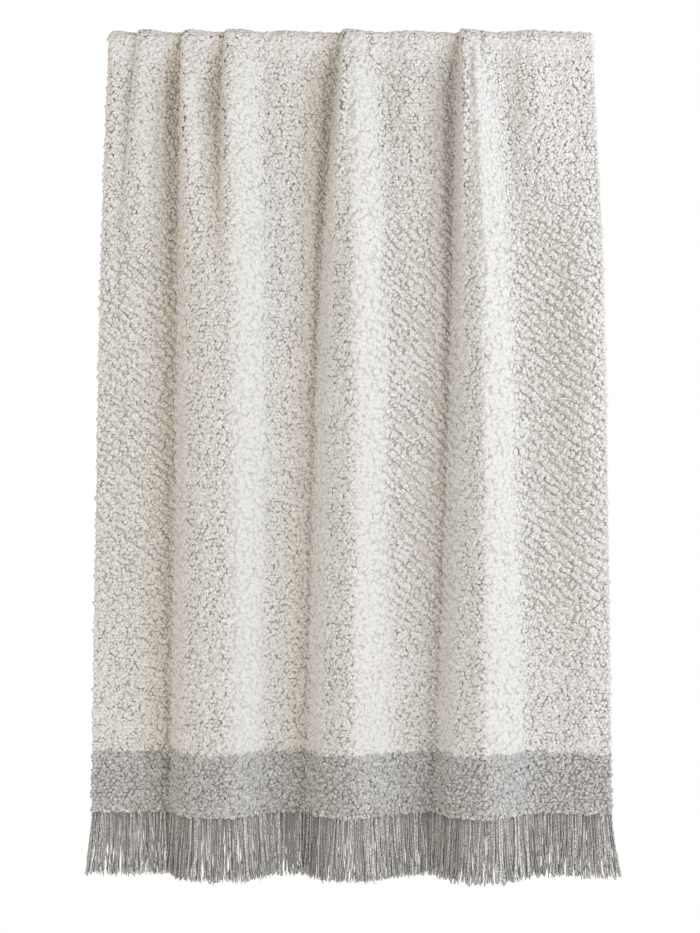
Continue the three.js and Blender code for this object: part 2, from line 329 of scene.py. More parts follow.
off_the_wall = 1 - ramp(-net_normal[..., 0], *WALL_TURN)
foot = ramp(steepest, *FOOT_STEEPNESS) * off_the_wall
hollow = ramp(steepest, *HOLLOW_STEEPNESS) * off_the_wall
pinch_row = int(np.abs(net_along - (FRONT_LENGTH - PINCH_DROP)).argmin())
foot[pinch_row + 1 :] = np.maximum(foot[pinch_row + 1 :], foot[pinch_row])
strength = np.interp(np.linspace(0, 1, NET_COLUMNS), RECESS_ACROSS, RECESS_STRENGTH)
# The recess mask: painted warm shade in the yarn's colour, and taller, less full nubs.
net_recess = ((FOOT_WEIGHT * foot + HOLLOW_WEIGHT * hollow) * strength)[..., None]
print("recess share", round(float(net_recess.mean()), 3))

# %% [markdown]
# Small helpers to turn arrays into meshes. Writing straight into the mesh's arrays is the quick
# way to make many thousands of faces, and every piece here is made that way.


# %% Mesh helpers
def new_piece(name, points, faces, smooth=True):
    mesh = bpy.data.meshes.new(name)
    points = np.asarray(points, dtype=np.float32).reshape(-1, 3)
    faces = np.asarray(faces, dtype=np.int32)
    count, corners = faces.shape
    mesh.vertices.add(len(points))
    mesh.vertices.foreach_set("co", points.ravel())
    mesh.loops.add(count * corners)
    mesh.loops.foreach_set("vertex_index", faces.ravel())
    mesh.polygons.add(count)
    mesh.polygons.foreach_set("loop_start", np.arange(0, count * corners, corners, dtype=np.int32))
    mesh.update(calc_edges=True)
    mesh.validate()
    if smooth:
        mesh.shade_smooth()
    piece = bpy.data.objects.new(name, mesh)
    bpy.context.scene.collection.objects.link(piece)
    return piece


def mark_points(piece, name, values, points_each):
    """Store a value on every point; each value is shared by so many points in a row."""
    layer = piece.data.attributes.new(name, "FLOAT", "POINT")
    layer.data.foreach_set("value", np.repeat(values, points_each).astype(np.float32))


def triangles(piece):
    piece.data.calc_loop_triangles()
    return len(piece.data.loop_triangles)


# %% [markdown]
# The ground cloth. Under the nubs is a plain woven sheet. It is one closed thin sheet on the net:
# an outer face and an inner face, joined round the rim. It only shows in the gaps between the
# nubs and on the inner face of the return, so it can stay plain.

# %% Ground sheet
GROUND_THICKNESS = 0.0030
GROUND_ROWS = 180
GROUND_COLUMNS = 130


def sheet_faces(rows, columns):
    """Quads of two nets of rows by columns, the second turned over, and the rim between them."""
    inner = rows * columns
    i, j = np.meshgrid(np.arange(rows - 1), np.arange(columns - 1), indexing="ij")
    a = (i * columns + j).ravel()
    front = np.stack([a, a + 1, a + columns + 1, a + columns], axis=1)
    back = np.stack([a, a + columns, a + columns + 1, a + 1], axis=1) + inner
    low = np.arange(columns - 1)
    top = low + (rows - 1) * columns
    left = np.arange(rows - 1) * columns
    right = left + columns - 1
    rims = [
        np.stack([low, low + inner, low + 1 + inner, low + 1], axis=1),
        np.stack([top + 1, top + 1 + inner, top + inner, top], axis=1),
        np.stack([left + columns, left + columns + inner, left + inner, left], axis=1),
        np.stack([right, right + inner, right + columns + inner, right + columns], axis=1),
    ]
    return np.concatenate([front, back, *rims])


ground_share, ground_along = np.meshgrid(
    np.linspace(0, 1, GROUND_COLUMNS), np.linspace(0, CLOTH_LENGTH, GROUND_ROWS)
)
ground_middle = on_net(net, ground_share, ground_along)
ground_out = on_net(net_normal, ground_share, ground_along)
ground_points = np.concatenate(
    [(ground_middle + side * GROUND_THICKNESS / 2 * ground_out).reshape(-1, 3) for side in (1, -1)]
)
ground = new_piece("ground_sheet", ground_points, sheet_faces(GROUND_ROWS, GROUND_COLUMNS))
print("ground sheet", triangles(ground), "triangles")

# %% [markdown]
# The nubs. Boucle yarn throws up a soft curl every centimetre or so, and the curls crowd together
# until the woven ground hardly shows. Each curl is a small knob here: the upper part of a ball,
# with fifteen faces and an open underside that sinks into the ground. Real knobs of mesh give true
# gaps, shadows and a soft edge, which a bump map can't.

# %% Shape of one nub
KNOB_SIDES = 5
KNOB_RINGS = ((0.84, 0.55), (0.95, -0.30))


def knob_point(ring, corner):
    """A point of one ring, which is turned by half a side from the ring above it."""
    radius, height = KNOB_RINGS[ring]
    turn = (2 * corner + ring) * math.pi / KNOB_SIDES
    return radius * math.cos(turn), radius * math.sin(turn), height


knob_rings = [knob_point(ring, corner) for ring in range(len(KNOB_RINGS)) for corner in range(KNOB_SIDES)]
KNOB_POINTS = np.array([(0, 0, 1), *knob_rings])
knob_corners = [(1 + i, 1 + (i + 1) % KNOB_SIDES) for i in range(KNOB_SIDES)]
KNOB_FACES = np.array(
    [(0, a, b) for a, b in knob_corners]
    + [(a, KNOB_SIDES + a, b) for a, b in knob_corners]
    + [(b, KNOB_SIDES + a, KNOB_SIDES + b) for a, b in knob_corners]
)
print("knob of", len(KNOB_POINTS), "points and", len(KNOB_FACES), "faces")

# %% [markdown]
# The nubs stand in staggered rows, one row for each weft yarn, and each lies a little off its
# place by chance. At the side edges they keep a small share of the width away from the rim.

# %% Places of the nubs
SCATTER_ACROSS = 0.30
SCATTER_ALONG = 0.32
OUTER_RIM = 0.002
INNER_RIM = 0.010


def nub_places(rng, low, high, row_pitch, nub_pitch, rim):
    """Staggered places between two distances along the throw: shares of the width and distances."""
    rows = max(int(round((high - low) / row_pitch)), 1)
    per_row = int(round(CLOTH_WIDTH / nub_pitch))
    row, column = np.meshgrid(np.arange(rows), np.arange(per_row), indexing="ij")
    stagger = 0.5 * (row % 2 - 0.5)
    off_across = rng.uniform(-SCATTER_ACROSS, SCATTER_ACROSS, row.shape)
    off_along = rng.uniform(-SCATTER_ALONG, SCATTER_ALONG, row.shape)
    share = (column + 0.5 + stagger + off_across) / per_row
    along = low + (row + 0.5 + off_along) * (high - low) / rows
    return np.clip(share.ravel(), rim, 1 - rim), along.ravel()


# %% [markdown]
# No stretch of real boucle is quite like the next one. A coarse grid of chance values, read
# smoothly, gives that slow change.

# %% Patches of the pile
PATCHES_UP = 54
PATCHES_ACROSS = 36
patch_grid = np.random.default_rng(7).uniform(0, 1, (PATCHES_UP, PATCHES_ACROSS))


def patch_at(share, along):
    """A soft chance value, 0 to 1, that changes every few centimetres."""
    return on_net(patch_grid[..., None], share, along, ease=smooth_step)[..., 0]


print("patches of", round(100 * CLOTH_LENGTH / PATCHES_UP, 1), "cm")

# %% [markdown]
# Beside the right-hand fold the cloth's own weight drags it down, and short slanting puckers show
# in the pile. Two more stand upright at the level of the rail. Each one is a wavy line along which
# the nubs sink: a place across and a height, a length, and a slant in degrees below the level.

# %% Puckers
PUCKERS = [
    (0.176, -0.631, 0.120, 57),
    (0.148, -0.695, 0.080, 55),
    (0.178, -0.735, 0.070, 52),
    (0.112, -0.770, 0.070, 58),
    (0.140, -0.861, 0.120, 48),
    (0.102, -0.858, 0.070, 40),
    (0.152, -0.930, 0.080, 50),
    (0.116, -0.985, 0.090, 54),
    (0.158, -1.035, 0.080, 50),
    (0.036, -0.008, 0.050, 88),
    (0.262, -0.010, 0.050, 86),
]
PUCKER_WIDTH = 0.0045
PUCKER_DEPTH = 0.0042
PUCKER_WAVE = 0.003
PUCKER_WAVE_RATE = 160


def pucker_at(points):
    """How near each point is to the middle of a pucker, 0 to 1."""
    nearest = np.zeros(len(points))
    for across, height, length, slant in PUCKERS:
        away = points[:, [0, 2]] - np.array([across, height])
        run = np.array([math.cos(math.radians(slant)), -math.sin(math.radians(slant))])
        along_it = away @ run
        wave = PUCKER_WAVE * np.sin(along_it * PUCKER_WAVE_RATE)
        beside_it = away @ np.array([-run[1], run[0]]) + wave
        there = np.exp(-((beside_it / PUCKER_WIDTH) ** 2)) * (np.abs(along_it) < length / 2)
        nearest = np.maximum(nearest, there)
    return nearest


print(len(PUCKERS), "puckers")

# %% [markdown]
# The pile isn't the same everywhere. Where a fold turns to the light on its right, the curls are
# stretched open and lie full and smooth, and on its steep left wall they do so by half. In the
# hollows they crowd into small knots, darkened by their own shadows and by painted shade. The
# smooth stretch starts a little before the cloth turns, and on the left of the throw it fades
# towards the rail. Where the pile is full, its colour drops the painted crease shade and evens out,
# so the faces turned to the lamps and the cloth over the rail are painted smoother.

# %% Fullness of the pile
CREST_LEAD = 0.012
CREST_TURN = (0.22, 0.60)
STEEP_TURN = (0.58, 0.78)
STEEP_FULLNESS = 0.5
PATCH_FULLNESS = 0.4
RAIL_FULLNESS = 0.35
RAIL_REACH = 0.06
LOW_WEIGHT = 1.15
TOP_WEIGHT = {"across": (0.35, 0.60), "weight": (0.65, 1.05)}
TOP_REACH = (0.95, 1.35)


def fullness_at(share, along, points):
    """How full and smooth the pile lies, 0 to 1; where it is high, the colour drops its painted crease shade
    and evens out.
    """
    facing_right = on_net(net_normal, np.minimum(share + CREST_LEAD, 1), along)[:, 0]
    facing_left = -on_net(net_normal, share, along)[:, 0]
    turned = np.maximum(ramp(facing_right, *CREST_TURN), STEEP_FULLNESS * ramp(facing_left, *STEEP_TURN))
    at_the_top = np.interp(share, TOP_WEIGHT["across"], TOP_WEIGHT["weight"])
    weight = LOW_WEIGHT + (at_the_top - LOW_WEIGHT) * ramp(along, *TOP_REACH)
    # Over the rail the pile is made fuller to lighten the top: flatter nubs, and no painted crease shade.
    over_the_rail = RAIL_FULLNESS * ramp(along, FRONT_LENGTH - RAIL_REACH, FRONT_LENGTH)
    patches = PATCH_FULLNESS * (patch_at(share, along) - 0.5)
    return np.clip(weight * turned + over_the_rail + patches - pucker_at(points), 0, 1)


# %% [markdown]
# The puffs. Neighbouring curls cling together in soft puffs about two centimetres wide, set like
# bricks. Each curl is lifted and tilted by the nearest puff of a loosely staggered grid.

# %% Puffs of the pile
PUFF_PITCH = 0.0210
PUFF_ROW = 0.0170
PUFF_RADIUS = 0.0125
PUFF_HEIGHT = 0.0024
PUFF_SMOOTHING = 0.85
PUFF_LOOSENESS = 0.22
PUFFS_UP = 160
PUFFS_ACROSS = 90
puff_rng = np.random.default_rng(9)
puff_shift = puff_rng.uniform(-PUFF_LOOSENESS, PUFF_LOOSENESS, (PUFFS_UP, PUFFS_ACROSS, 2))
puff_tone = puff_rng.uniform(0, 1, (PUFFS_UP, PUFFS_ACROSS))


def puff_at(share, along):
    """The way from the nearest puff's middle, across and along, in metres, and that puff's tone."""
    across = share * CLOTH_WIDTH
    own_row = np.floor(along / PUFF_ROW).astype(int)
    nearest = np.full(len(share), np.inf)
    way = np.zeros((len(share), 2))
    tone = np.zeros(len(share))
    for row in (own_row - 1, own_row, own_row + 1):
        stagger = 0.5 * (row % 2)
        own_column = np.floor(across / PUFF_PITCH - stagger).astype(int)
        for column in (own_column - 1, own_column, own_column + 1):
            puff = (row % PUFFS_UP, column % PUFFS_ACROSS)
            shift = puff_shift[puff]
            away = np.stack([
                across - (column + 0.5 + stagger + shift[:, 0]) * PUFF_PITCH,
                along - (row + 0.5 + shift[:, 1]) * PUFF_ROW,
            ], axis=1)
            distance = np.linalg.norm(away, axis=1)
            closer = distance < nearest
            nearest = np.where(closer, distance, nearest)
            way[closer] = away[closer]
            tone = np.where(closer, puff_tone[puff], tone)
    return way, tone


def puff_lift(share, along, full):
    """How far its puff lifts each nub, how it tilts the nub, and the puff's tone."""
    way, tone = puff_at(share, along)
    swell = PUFF_HEIGHT * (1 - PUFF_SMOOTHING * full)
    lift = swell * (1 - (way**2).sum(axis=1, keepdims=True) / PUFF_RADIUS**2)
    return lift, 2 * swell * way / PUFF_RADIUS**2, tone


print("puffs", PUFF_PITCH, "by", PUFF_ROW)

# %% [markdown]
# The slanting furrows. Between the folds the cloth is dragged a little out of square, and its rows
# of curls bunch up into shallow ridges that run down to the right, one every two centimetres of
# the drop. They show in three tall fields. The curls are pushed out of the furrows onto the ridges,
# and those that stay in a furrow sit lower, are smaller and less full, and take painted shade
# through the recess mask. So a furrow is a wave in a slanted direction that wanders with the
# patches and fades out at the sides of its field.

# %% Slanting furrows
FURROW_PITCH = 0.020
FURROW_DEPTH = 0.0066
FURROW_HALF_WIDTH = 0.28
FURROW_PUSH = 0.55
FURROW_WANDER = 0.8
FURROW_FIELDS = {
    "across": (0.00, 0.12, 0.20, 0.54, 0.60, 0.68, 0.74, 0.82, 0.88, 1.00),
    "slope": (0.70, 0.70, 0.00, 0.00, 0.80, 0.90, 0.00, 0.00, 0.75, 0.75),
    "strength": (0.50, 0.50, 0.00, 0.00, 1.00, 1.00, 0.00, 0.00, 0.90, 0.90),
}
FURROW_REACH = {"along": (0.30, 0.50, 1.10, 1.28), "strength": (0.0, 1.0, 1.0, 0.0)}
SLANT_STEPS = 200
slant_places = np.linspace(0, 1, SLANT_STEPS + 1)
slant_slopes = np.interp(slant_places, FURROW_FIELDS["across"], FURROW_FIELDS["slope"])
slant_rise = slant_slopes.cumsum() * CLOTH_WIDTH / SLANT_STEPS


def furrow_place(share, along):
    """Where each point lies across its furrow, from -0.5 to 0.5, and how strong the furrows are."""
    turn = (along + np.interp(share, slant_places, slant_rise)) / FURROW_PITCH
    turn = turn + FURROW_WANDER * (patch_at(share, along) - 0.5)
    in_field = np.interp(share, FURROW_FIELDS["across"], FURROW_FIELDS["strength"])
    in_reach = np.interp(along, FURROW_REACH["along"], FURROW_REACH["strength"])
    return turn - np.round(turn), in_field * in_reach


def furrow_at(share, along):
    """How deep in a furrow each point lies, 0 to 1."""
    away, field = furrow_place(share, along)
    return field * (1 - ramp(np.abs(away), 0, FURROW_HALF_WIDTH))


def pushed_to_ridge(share, along):
    """Points moved up or down, out of the furrows and onto the ridges between them."""
    away, field = furrow_place(share, along)
    pushed = np.sign(away) * 0.5 * (2 * np.abs(away)) ** (1 / (1 + FURROW_PUSH * field))
    return along + (pushed - away) * FURROW_PITCH


print("furrows drop", round(float(slant_rise[-1]), 2), "m from edge to edge")

# %% [markdown]
# The masks belong to the side that is seen. Fullness, furrows and recesses act on the front's outer
# face, up to the far side of the rail, and are nought elsewhere. The grey band and the hem look
# more even, so a share called evenness takes part of them away.

# %% Masks of the pile
FRONT_TOP = FRONT_LENGTH + OVER_LENGTH * 0.75
# How much painted shade a furrow adds to the recess mask.
FURROW_SHADE = 0.7
FURROW_SLACK = 0.8
EVEN_RECESS = 0.6


def pile_masks(share, along, middle, side, evenness):
    """Fullness, furrow and recess of each nub, 0 to 1, a column each."""
    in_front = (side > 0) * (along[:, None] < FRONT_TOP)
    furrow = furrow_at(share, along)[:, None] * in_front
    recess = np.clip(on_net(net_recess, share, along) + FURROW_SHADE * furrow, 0, 1)
    recess = recess * in_front * (1 - EVEN_RECESS * evenness)
    full = (1 - evenness) * fullness_at(share, along, middle)[:, None] * in_front
    return full * (1 - FURROW_SLACK * furrow) * (1 - recess), furrow, recess


# %% [markdown]
# No two nubs are alike: every point of a knob is pushed about by chance, and its top leans over.
# A full nub is wider, lower and smoother, and overlaps its neighbours until they close up.

# %% Chance in the nubs
NUB_SIZES = (0.75, 1.20)
NUB_LUMPS = 0.22
NUB_LEAN = 0.30
NUB_LIFT = 0.12
SMOOTHING = 0.8
FULL_SPREAD = 0.8
FULL_SINK = 0.35
RECESS_RISE = 0.15
FURROW_SHRINK = 0.2


def knob_shapes(rng, full, reach):
    """The points of every knob from its middle: the long way, the short way and outward."""
    calm = 1 - SMOOTHING * full[..., None]
    lumps = NUB_LUMPS * calm * rng.uniform(-1, 1, (len(full), len(KNOB_POINTS), 1))
    shape = KNOB_POINTS[None] * (1 + lumps)
    lean = rng.normal(0, NUB_LEAN, (len(full), 1, 2)) * calm
    shape[..., :2] += lean * shape[..., 2:3]
    return shape * reach[:, None]


def nub_reach(length, width, height, full, recess):
    """Half the size of every nub in its three directions."""
    spread = 1 + FULL_SPREAD * full
    tall = height * (1 - FULL_SINK * full + RECESS_RISE * recess)
    return np.concatenate([length * spread, width * spread, tall], axis=1) / 2


# %% [markdown]
# One function lays a whole field of nubs. Each nub gets a place, a size, a heading and a height,
# and then all the knobs are turned into place at once. Each also carries three values that its
# material reads: its tone, how full its pile is, and its recess. From the recess the material
# paints warm shade, and where the pile is full it drops the painted crease shade and evens the tone.


# %% Field of nubs
def nub_piece(name, seed, low, high, side, row_pitch, nub_pitch, length, width, height, evenness=0):
    """One mesh of nubs on the outer face (side 1) or the inner face (side -1)."""
    rng = np.random.default_rng(seed)
    rim = OUTER_RIM if side > 0 else INNER_RIM
    share, along = nub_places(rng, low, high, row_pitch, nub_pitch, rim)
    if side > 0:
        along = pushed_to_ridge(share, along)
    count = len(share)
    size = rng.uniform(*NUB_SIZES, count)[:, None]
    middle = on_net(net, share, along)
    full, furrow, recess = pile_masks(share, along, middle, side, evenness)
    reach = nub_reach(length, width, height, full, recess) * size * (1 - FURROW_SHRINK * furrow)
    shape = knob_shapes(rng, full, reach)
    heading = rng.uniform(0, math.pi, count)[:, None]
    unevenness = rng.uniform(-1, 1, (count, 1)) * (1 - SMOOTHING * full)
    lift = GROUND_THICKNESS / 2 + NUB_LIFT * height * unevenness
    tone = rng.uniform(0, 1, count)
    right, up = on_net(net_right, share, along), on_net(net_up, share, along)
    outward = side * on_net(net_normal, share, along)
    if side > 0:
        swell, tilt, shared_tone = puff_lift(share, along, full)
        lift = lift + swell - PUCKER_DEPTH * pucker_at(middle)[:, None] - FURROW_DEPTH * furrow
        outward = unit(outward + tilt[:, 0:1] * right + tilt[:, 1:2] * up)
        tone = (tone + shared_tone) / 2
    long_way = np.cos(heading) * right + np.sin(heading) * up
    long_way = unit(long_way - (long_way * outward).sum(axis=1, keepdims=True) * outward)
    axes = np.stack([long_way, np.cross(outward, long_way), outward], axis=1)
    points = (middle + lift * outward)[:, None] + shape @ axes
    faces = (KNOB_FACES[None] + (np.arange(count) * len(KNOB_POINTS))[:, None, None]).reshape(-1, 3)
    piece = new_piece(name, points, faces)
    marks = {"yarn_tone": tone, "pile_fullness_and_painted_light": full[:, 0], "fold_recess": recess[:, 0]}
    for mark, values in marks.items():
        mark_points(piece, mark, values, len(KNOB_POINTS))
    print(name, count, "nubs", triangles(piece), "triangles")
    return piece


# %% [markdown]
# The front. The ivory body is cut into four meshes, to keep each of them light. The grey band
# below it is a little coarser, and the woven edge of the hem is one tidy row of small nubs.

# %% Nubs on the front
BODY_PIECES = 4
BAND_WIDTH = 0.122
BAND_OVERLAP = 0.004
HEM_ROW_WIDTH = 0.010
HEM_EDGE = 0.0015
FRONT_NUB = dict(row_pitch=0.0067, nub_pitch=0.0077, length=0.0126, width=0.0098, height=0.0042)
GREY_NUB = dict(row_pitch=0.0074, nub_pitch=0.0086, length=0.0130, width=0.0102, height=0.0076, evenness=0.8)

body_cuts = np.linspace(BAND_WIDTH, FRONT_TOP, BODY_PIECES + 1)
ivory_nubs = [
    nub_piece(f"nubs_ivory_{i + 1}", 11 + i, body_cuts[i], body_cuts[i + 1], 1, **FRONT_NUB)
    for i in range(BODY_PIECES)
]
grey_nubs = [nub_piece("nubs_grey_front", 21, HEM_ROW_WIDTH, BAND_WIDTH + BAND_OVERLAP, 1, **GREY_NUB)]
hem_nubs = nub_piece("nubs_hem_front", 22, HEM_EDGE, HEM_ROW_WIDTH, 1, **FRONT_NUB, evenness=1)

# %% [markdown]
# Behind, the return is covered like the front. The inner face of the front drop is seen less, so
# its nubs are larger and fewer, and they stop a little below the rail. The inner face of the
# return has none, because it hangs close to the front drop and hardly shows.

# %% Nubs behind
INNER_NUB = dict(row_pitch=0.0114, nub_pitch=0.0124, length=0.0158, width=0.0126, height=0.0074)
INNER_HEM = 0.004
RAIL_CLEARANCE = 0.02
BACK_BAND_START = CLOTH_LENGTH - BAND_WIDTH
BACK_EDGE = CLOTH_LENGTH - 0.002
INNER_TOP = FRONT_LENGTH - RAIL_CLEARANCE

ivory_nubs.append(nub_piece("nubs_ivory_inside", 31, BAND_WIDTH, INNER_TOP, -1, **INNER_NUB))
grey_nubs.append(nub_piece("nubs_grey_inside", 32, INNER_HEM, BAND_WIDTH, -1, **INNER_NUB))
ivory_nubs.append(nub_piece("nubs_ivory_return", 33, FRONT_TOP, BACK_BAND_START, 1, **FRONT_NUB))
grey_nubs.append(nub_piece("nubs_grey_return", 34, BACK_BAND_START, BACK_EDGE, 1, **FRONT_NUB))

# %% [markdown]
# The fringe. The warp ends are left about twelve centimetres long. They are soft plied yarns that
# hang nearly straight, cling to their neighbours in loose bunches and part a little lower down.
# Each strand is a slim tube with its own length, lean and ripple. A slow wave shared by its
# neighbours gathers them into bunches, the strands fan out where the hem curves round a fold, and
# a few thicker, paler ones lie on top.

# %% Paths of the strands
STRAND_LENGTH = 0.124
LENGTH_SPREAD = 0.0028
STRAND_RINGS = 9
ROOT_SCATTER = 0.4
ROOT_DEPTH = 0.002
LAYER_STEP = 0.0016
BUNCH_WAVES = ((17, 0.0024), (31, 0.0018), (53, 0.0016), (97, 0.0010))
SWAY_SPREAD = 0.0027
LEAN_SPREAD = 0.0022
RIPPLES = ((1.1, 0.0017), (2.3, 0.0010))
UNRULY_SHARE = 0.12
UNRULY_RIPPLE = 2.4
PROUD_SHARE = 0.06
PROUD_LIFT = 0.0022
FRINGE_FAN = 0.014
EDGE_REACH = 0.06


def strand_paths(rng, count, along, flare):
    """Middle lines of the strands, the way out from each, and which strands stand proud."""
    share = np.clip((np.arange(count) + 0.5 + rng.uniform(-ROOT_SCATTER, ROOT_SCATTER, count)) / count, 0, 1)
    root = on_net(net, share, np.full(count, along))
    outward = on_net(net_normal, share, np.full(count, along))
    outward[:, 2] = 0
    outward = unit(outward)
    right = np.cross(outward, np.array([0, 0, -1.0]))
    t = np.linspace(0, 1, STRAND_RINGS)[None]
    length = (STRAND_LENGTH + rng.normal(0, LENGTH_SPREAD, count))[:, None]
    bunches = sum(
        amount * np.sin(2 * math.pi * cycles * share + rng.uniform(0, 2 * math.pi))
        for cycles, amount in BUNCH_WAVES
    )
    sway = (bunches + rng.normal(0, SWAY_SPREAD, count))[:, None] * t**1.3
    near_right = np.clip((share - 1 + EDGE_REACH) / EDGE_REACH, 0, 1)
    near_left = np.clip((EDGE_REACH - share) / EDGE_REACH, 0, 1)
    sway = sway + (flare * (near_right - near_left))[:, None] * t**1.2
    ripple = sum(
        amount * np.sin(2 * math.pi * (turns * t + rng.uniform(0, 1, count)[:, None])) * t
        for turns, amount in RIPPLES
    )
    ripple = ripple * rng.choice((1.0, UNRULY_RIPPLE), count, p=(1 - UNRULY_SHARE, UNRULY_SHARE))[:, None]
    proud = rng.random(count) < PROUD_SHARE
    layer = (np.arange(count) % 3 - 1) * LAYER_STEP + PROUD_LIFT * proud
    lean = rng.normal(0, LEAN_SPREAD, count)[:, None] * t
    centres = root[:, None] + (layer[:, None] + lean)[..., None] * outward[:, None]
    centres = centres + (sway + ripple)[..., None] * right[:, None]
    centres[..., 0] += (FRINGE_FAN * outward[:, 0] * np.abs(outward[:, 1]))[:, None] * t**1.3
    centres[..., 2] = root[:, 2:3] + ROOT_DEPTH - length * t
    return centres, outward, proud


# %% [markdown]
# The tubes have three sides and nine rings: at one or two pixels wide, more sides would only add
# weight. A strand swells a little on the way down and narrows just before its cut end.

# %% Strand tubes
STRAND_SIDES = 3


def strand_tubes(centres, outward, radius):
    """Rings of points round every middle line."""
    tangent = unit(np.gradient(centres, axis=1))
    side = unit(np.cross(tangent, outward))
    up = np.cross(side, tangent)
    angles = np.arange(STRAND_SIDES) * 2 * math.pi / STRAND_SIDES
    ring = np.cos(angles)[:, None] * side[:, :, None] + np.sin(angles)[:, None] * up[:, :, None]
    return centres[:, :, None] + radius[:, :, None, None] * ring


def tube_faces(count, rings, sides):
    """Faces of many capped tubes, as triangles."""
    ring, side = np.meshgrid(np.arange(rings - 1), np.arange(sides), indexing="ij")
    a = (ring * sides + side).ravel()
    b = (ring * sides + (side + 1) % sides).ravel()
    walls = np.concatenate([np.stack([a, b, b + sides], 1), np.stack([a, b + sides, a + sides], 1)])
    fan = np.arange(1, sides - 1)
    last = (rings - 1) * sides
    caps = np.concatenate([
        np.stack([np.zeros_like(fan), fan + 1, fan], 1),
        np.stack([np.full_like(fan, last), last + fan, last + fan + 1], 1),
    ])
    one = np.concatenate([walls, caps])
    return (one[None] + (np.arange(count) * rings * sides)[:, None, None]).reshape(-1, 3)


# %% [markdown]
# Both fringes come from one function. The hidden one behind has fewer strands.

# %% Fringes
STRAND_RADIUS = 0.00147
RADIUS_RANGE = (0.75, 1.15)
PROUD_GIRTH = 0.45
PROUD_TONE = 0.82
TONE_RANGE = (0, 0.90)
END_SWELL = 0.12
END_TAPER = 0.30


def fringe_piece(name, seed, count, along, flare):
    rng = np.random.default_rng(seed)
    centres, outward, proud = strand_paths(rng, count, along, flare)
    t = np.linspace(0, 1, STRAND_RINGS)[None]
    radius = STRAND_RADIUS * rng.uniform(*RADIUS_RANGE, count) * (1 + PROUD_GIRTH * proud)
    taper = radius[:, None] * (1 + END_SWELL * t - END_TAPER * t**6)
    facing = np.broadcast_to(outward[:, None], centres.shape)
    points = strand_tubes(centres, facing, taper)
    piece = new_piece(name, points, tube_faces(count, STRAND_RINGS, STRAND_SIDES))
    tone = np.where(proud, PROUD_TONE, rng.uniform(*TONE_RANGE, count))
    mark_points(piece, "yarn_tone", tone, STRAND_RINGS * STRAND_SIDES)
    print(name, count, "strands", triangles(piece), "triangles")
    return piece


fringe_front = fringe_piece("strands_front", 41, 1250, 0.0, 0.015)
fringe_back = fringe_piece("strands_back", 42, 900, CLOTH_LENGTH, 0.010)

# %% [markdown]
# Materials are small networks of nodes. Four helpers keep them short: they set inputs by name, add
# a node with its settings, draw the wires, and start a node group that materials can share.


# %% Node helpers
def set_inputs(node, values):
    for name, value in values.items():
        node.inputs[name].default_value = value


def add_node(tree, kind, values=None, **settings):
    node = tree.nodes.new(kind)
    for name, value in settings.items():
        setattr(node, name, value)
    set_inputs(node, values or {})
    return node


def connect(tree, *wires):
    """Each wire is a node and its output, then a node and its input."""
    for giver, output, taker, socket in wires:
        tree.links.new(giver.outputs[output], taker.inputs[socket])


def new_group(name, inputs, outputs):
    """A group with number sockets: the group, and the nodes of what it is given and what it makes."""
    group = bpy.data.node_groups.new(name, "ShaderNodeTree")
    for socket in inputs:
        group.interface.new_socket(socket, in_out="INPUT", socket_type="NodeSocketFloat")
    for socket in outputs:
        group.interface.new_socket(socket, in_out="OUTPUT", socket_type="NodeSocketFloat")
    return group, group.nodes.new("NodeGroupInput"), group.nodes.new("NodeGroupOutput")


# %% [markdown]
# Every yarn has fine fibres that catch the light and a slightly uneven dye. That effect is shared,
# so it is a node group: it puts out a tone and a height that change over the surface, and each
# material uses it with its own sizes. Most of the tone is the fibres, with their contrast raised,
# and the rest is the slow patches of dye.

# %% Shared fibre group
GRAIN_RANGE = {"From Min": 0.36, "From Max": 0.64}
DYE_SHARE = 0.3


def fibre_group():
    group, given, made = new_group("yarn_fibre", ("Fibre size", "Patch size"), ("Tone", "Height"))
    place = add_node(group, "ShaderNodeTexCoord")
    fibre = add_node(group, "ShaderNodeTexNoise", {"Detail": 3})
    patch = add_node(group, "ShaderNodeTexNoise", {"Detail": 2})
    grain = add_node(group, "ShaderNodeMapRange", GRAIN_RANGE)
    blend = add_node(group, "ShaderNodeMix", {"Factor": DYE_SHARE})
    connect(
        group,
        (place, "Object", fibre, "Vector"), (place, "Object", patch, "Vector"),
        (given, "Fibre size", fibre, "Scale"), (given, "Patch size", patch, "Scale"),
        (fibre, "Fac", grain, "Value"), (grain, "Result", blend, "A"),
        (patch, "Fac", blend, "B"), (blend, "Result", made, "Tone"),
        (fibre, "Fac", made, "Height"),
    )
    return group


yarn_fibre = fibre_group()
print(yarn_fibre.name, len(yarn_fibre.nodes), "nodes")

# %% [markdown]
# The turns of the boucle yarn are finer than the knobs that carry them. They are a second shared
# group: warped noise at the width of the yarn, whose lows mark the creases between two turns, where
# the colour takes painted shade.

# %% Shared curl group
CREASE_RANGE = {"From Min": 0.38, "From Max": 0.56}
CURL_WARP = 0.3


def curl_group():
    group, given, made = new_group("yarn_curl", ("Curl size",), ("Crease", "Height"))
    place = add_node(group, "ShaderNodeTexCoord")
    curl = add_node(group, "ShaderNodeTexNoise", {"Detail": 1, "Distortion": CURL_WARP})
    crease = add_node(group, "ShaderNodeMapRange", CREASE_RANGE, interpolation_type="SMOOTHSTEP")
    connect(
        group,
        (place, "Object", curl, "Vector"), (given, "Curl size", curl, "Scale"),
        (curl, "Fac", crease, "Value"), (crease, "Result", made, "Crease"),
        (curl, "Fac", made, "Height"),
    )
    return group


yarn_curl = curl_group()
print(yarn_curl.name, len(yarn_curl.nodes), "nodes")

